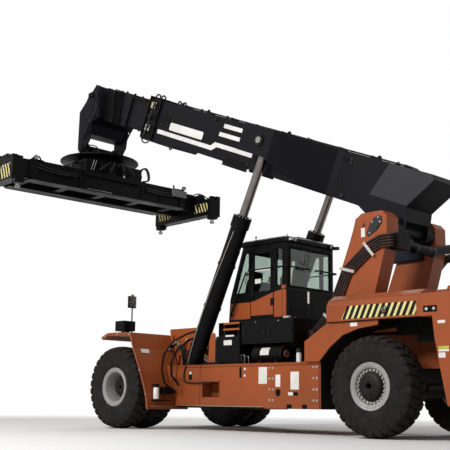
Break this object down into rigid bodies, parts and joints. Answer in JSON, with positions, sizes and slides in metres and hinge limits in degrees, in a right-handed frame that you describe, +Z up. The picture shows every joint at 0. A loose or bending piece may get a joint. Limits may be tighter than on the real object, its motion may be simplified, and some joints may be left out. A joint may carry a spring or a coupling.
{
  "type": "reach stacker",
  "caption": "Four-wheeled container handler with a telescopic boom over a low cab, twin lift cylinders and a rotating, telescopic top-lift spreader.",
  "frame": {"origin": "middle of the bounding box in plan, on the ground the tyres stand on", "axes": "+X is forward along the machine, toward the spreader; +Y is to the driver's left; +Z is up"},
  "size_m": [13.1664, 6.3826, 8.4798],
  "materials": {
    "bare_steel": "machined",
    "black_paint": "satin enamel",
    "black_plastic": "moulded",
    "black_rubber": "hose cover",
    "cast_grey": "painted casting",
    "charcoal_paint": "satin enamel",
    "hard_chrome": "ground and plated",
    "seat_fabric": "woven",
    "terracotta_paint": "semi-gloss enamel",
    "tinted_glass": "tinted",
    "tyre": "moulded rubber",
    "white_paint": "gloss enamel"
  },
  "bodies": {
    "chassis": {"air_tanks": "black_paint", "battery_boxes": "black_paint", "boom_towers": "terracotta_paint", "cab_cabinet": "black_paint", "cab_controls": "black_plastic", "cab_glass": "tinted_glass", "cab_rails": "black_paint", "cab_roof": "black_paint", "cab_shell": "black_paint", "counterweight": "terracotta_paint", "drive_shaft": "bare_steel", "engine": "cast_grey", "engine_hood": "terracotta_paint", "exhaust": "bare_steel", "fender_mirrors": "black_plastic", "front_axle": "black_paint", "front_fenders": "terracotta_paint", "gearbox": "cast_grey", "hose_sleeve": "black_rubber", "main_frame": "terracotta_paint", "rear_decks": "terracotta_paint", "seat": "seat_fabric", "side_tanks": "terracotta_paint", "steer_axle": "black_paint", "steer_cylinder": "black_paint", "tower_hoses": "black_rubber"},
    "front_wheels_left": {"front_tyres_left": "tyre", "front_rims_left": "white_paint"},
    "front_wheels_right": {"front_tyres_right": "tyre", "front_rims_right": "white_paint"},
    "knuckle_left": {"knuckle_left": "cast_grey"},
    "knuckle_right": {"knuckle_right": "cast_grey"},
    "rear_wheel_left": {"rear_tyre_left": "tyre", "rear_rim_left": "white_paint"},
    "rear_wheel_right": {"rear_tyre_right": "tyre", "rear_rim_right": "white_paint"},
    "boom": {"outer_boom": "charcoal_paint", "lift_brackets": "charcoal_paint"},
    "inner_boom": {"inner_boom": "charcoal_paint", "boom_head": "charcoal_paint"},
    "barrel_left": {"cylinder_barrel_left": "black_paint"},
    "barrel_right": {"cylinder_barrel_right": "black_paint"},
    "rod_left": {"cylinder_rod_left": "hard_chrome"},
    "rod_right": {"cylinder_rod_right": "hard_chrome"},
    "hanger": {"head_hanger": "black_paint"},
    "rotator": {"rotator": "black_paint"},
    "spreader": {"spreader_frame": "black_paint"},
    "arm_left": {"spreader_arm_left": "black_paint"},
    "arm_right": {"spreader_arm_right": "black_paint"},
    "lock_front_left": {"twistlock_front_left": "bare_steel"},
    "lock_rear_left": {"twistlock_rear_left": "bare_steel"},
    "lock_front_right": {"twistlock_front_right": "bare_steel"},
    "lock_rear_right": {"twistlock_rear_right": "bare_steel"},
    "cab_door": {"cab_door": "black_paint", "door_glass": "tinted_glass"}
  },
  "joints": [
    {"name": "front_left_roll", "type": "hinge", "parent": "chassis", "child": "front_wheels_left", "pos_m": [1.64676, 1.83, 0.835], "axis": [0, 1, 0], "continuous": true},
    {"name": "front_right_roll", "type": "hinge", "parent": "chassis", "child": "front_wheels_right", "pos_m": [1.64676, -1.83, 0.835], "axis": [0, 1, 0], "continuous": true},
    {"name": "steer_left", "type": "hinge", "parent": "chassis", "child": "knuckle_left", "pos_m": [-4.45324, 1.1, 0.835], "axis": [0, 0, 1], "range_deg": [-45, 45]},
    {"name": "steer_right", "type": "hinge", "parent": "chassis", "child": "knuckle_right", "pos_m": [-4.45324, -1.1, 0.835], "axis": [0, 0, 1], "range_deg": [-45, 45]},
    {"name": "rear_left_roll", "type": "hinge", "parent": "knuckle_left", "child": "rear_wheel_left", "pos_m": [-4.45324, 1.38, 0.835], "axis": [0, 1, 0], "continuous": true},
    {"name": "rear_right_roll", "type": "hinge", "parent": "knuckle_right", "child": "rear_wheel_right", "pos_m": [-4.45324, -1.38, 0.835], "axis": [0, 1, 0], "continuous": true},
    {"name": "boom_lift", "type": "hinge", "parent": "chassis", "child": "boom", "pos_m": [-4.20324, 0, 3.62], "axis": [0, -1, 0], "range_deg": [-22.7, 37.3]},
    {"name": "boom_telescope", "type": "slide", "parent": "boom", "child": "inner_boom", "axis": [0.9225, 0, 0.3859], "range_m": [0, 6]},
    {"name": "barrel_swing_left", "type": "hinge", "parent": "chassis", "child": "barrel_left", "pos_m": [0.34676, 1.15, 1.05], "axis": [0, -1, 0], "range_deg": [-4.32, 7.1]},
    {"name": "rod_left", "type": "slide", "parent": "barrel_left", "child": "rod_left", "axis": [-0.4295, 0, 0.9031], "range_m": [-1.1143, 1.8303]},
    {"name": "barrel_swing_right", "type": "hinge", "parent": "chassis", "child": "barrel_right", "pos_m": [0.34676, -1.15, 1.05], "axis": [0, -1, 0], "range_deg": [-4.32, 7.1]},
    {"name": "rod_right", "type": "slide", "parent": "barrel_right", "child": "rod_right", "axis": [-0.4295, 0, 0.9031], "range_m": [-1.1143, 1.8303]},
    {"name": "head_level", "type": "hinge", "parent": "inner_boom", "child": "hanger", "pos_m": [5.19676, 0, 6.95], "axis": [0, -1, 0], "range_deg": [-37.31, 22.71]},
    {"name": "rotator_slew", "type": "hinge", "parent": "hanger", "child": "rotator", "pos_m": [5.19676, 0, 6.56], "axis": [0, 0, 1], "range_deg": [-105, 195]},
    {"name": "side_shift", "type": "slide", "parent": "rotator", "child": "spreader", "axis": [-0.0541, -0.9985, 0], "range_m": [-0.8, 0.8]},
    {"name": "spreader_extend", "type": "slide", "parent": "spreader", "child": "arm_left", "axis": [0.0541, 0.9985, 0], "range_m": [0, 3.067]},
    {"name": "spreader_extend_right", "type": "slide", "parent": "spreader", "child": "arm_right", "axis": [-0.0541, -0.9985, 0], "range_m": [0, 3.067]},
    {"name": "lock_turn", "type": "hinge", "parent": "arm_left", "child": "lock_front_left", "pos_m": [6.48287, 2.86114, 5.38], "axis": [0, 0, 1], "range_deg": [0, 90]},
    {"name": "lock_turn_rear_left", "type": "hinge", "parent": "arm_left", "child": "lock_rear_left", "pos_m": [4.22717, 2.9833, 5.38], "axis": [0, 0, 1], "range_deg": [0, 90]},
    {"name": "lock_turn_front_right", "type": "hinge", "parent": "arm_right", "child": "lock_front_right", "pos_m": [6.16634, -2.9833, 5.38], "axis": [0, 0, 1], "range_deg": [0, 90]},
    {"name": "lock_turn_rear_right", "type": "hinge", "parent": "arm_right", "child": "lock_rear_right", "pos_m": [3.91065, -2.86114, 5.38], "axis": [0, 0, 1], "range_deg": [0, 90]},
    {"name": "cab_door", "type": "hinge", "parent": "chassis", "child": "cab_door", "pos_m": [-1.57324, 0.736, 2.9], "axis": [0, 0, -1], "range_deg": [-80, 0]}
  ],
  "couplings": [
    {"joint": "steer_right", "follows": "steer_left", "ratio": 1},
    {"joint": "barrel_swing_left", "follows": "boom_lift", "ratio": 0.19},
    {"joint": "barrel_swing_right", "follows": "boom_lift", "ratio": 0.19},
    {"joint": "rod_left", "follows": "boom_lift", "m_per_rad": 2.81},
    {"joint": "rod_right", "follows": "boom_lift", "m_per_rad": 2.81},
    {"joint": "head_level", "follows": "boom_lift", "ratio": -1},
    {"joint": "spreader_extend_right", "follows": "spreader_extend", "ratio": 1},
    {"joint": "lock_turn_rear_left", "follows": "lock_turn", "ratio": 1},
    {"joint": "lock_turn_front_right", "follows": "lock_turn", "ratio": 1},
    {"joint": "lock_turn_rear_right", "follows": "lock_turn", "ratio": 1}
  ]
}
